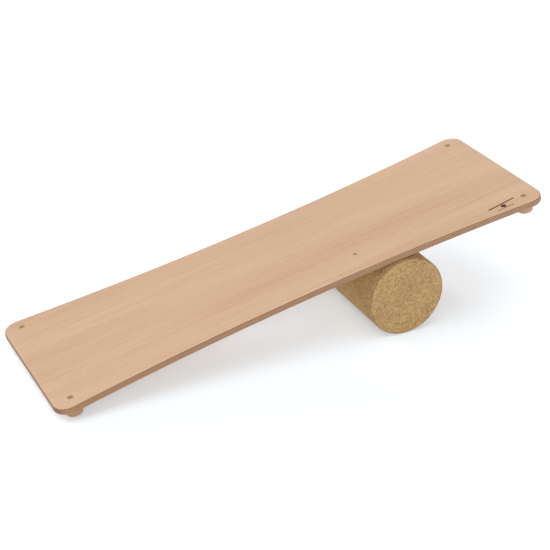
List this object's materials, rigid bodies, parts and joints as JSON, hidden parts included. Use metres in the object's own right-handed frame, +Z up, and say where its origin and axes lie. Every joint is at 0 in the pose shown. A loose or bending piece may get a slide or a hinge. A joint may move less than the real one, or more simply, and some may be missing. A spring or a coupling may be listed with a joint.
{
  "type": "balance board",
  "caption": "Waisted plywood balance board lying at a slope across a loose cork roller, with round stop feet screwed under its corners.",
  "frame": {"origin": "on the floor, under the middle of the whole board as it lies at rest", "axes": "+X runs along the board towards its raised end, +Y across it towards the rear, +Z up"},
  "size_m": [0.785, 0.2602, 0.1878],
  "materials": {
    "face_veneer": "satin",
    "long_veneer": "matte",
    "cross_veneer": "matte",
    "foot_wood": "satin",
    "screw_steel": "satin",
    "cork": "matte",
    "core_wood": "matte"
  },
  "bodies": {
    "roller": {"roller_sleeve": "cork", "roller_disc_front": "cork", "roller_disc_rear": "cork"},
    "core": {"roller_core": "core_wood"},
    "deck": {"face_veneer_top": "face_veneer", "core_veneer_1": "cross_veneer", "core_veneer_2": "long_veneer", "core_veneer_3": "cross_veneer", "core_veneer_4": "long_veneer", "core_veneer_5": "cross_veneer", "core_veneer_6": "long_veneer", "core_veneer_7": "cross_veneer", "face_veneer_bottom": "face_veneer", "foot_left_front": "foot_wood", "foot_left_rear": "foot_wood", "foot_right_front": "foot_wood", "foot_right_rear": "foot_wood", "foot_screws": "screw_steel"}
  },
  "joints": [
    {"name": "deck_tilt", "type": "hinge", "parent": "roller", "child": "core", "pos_m": [0.16009, 0, 0.0625], "axis": [0, 1, 0], "range_deg": [0, 38.9]},
    {"name": "deck_travel", "type": "slide", "parent": "core", "child": "deck", "axis": [-0.9781, 0, -0.2079], "range_m": [-0.4705, 0]}
  ]
}
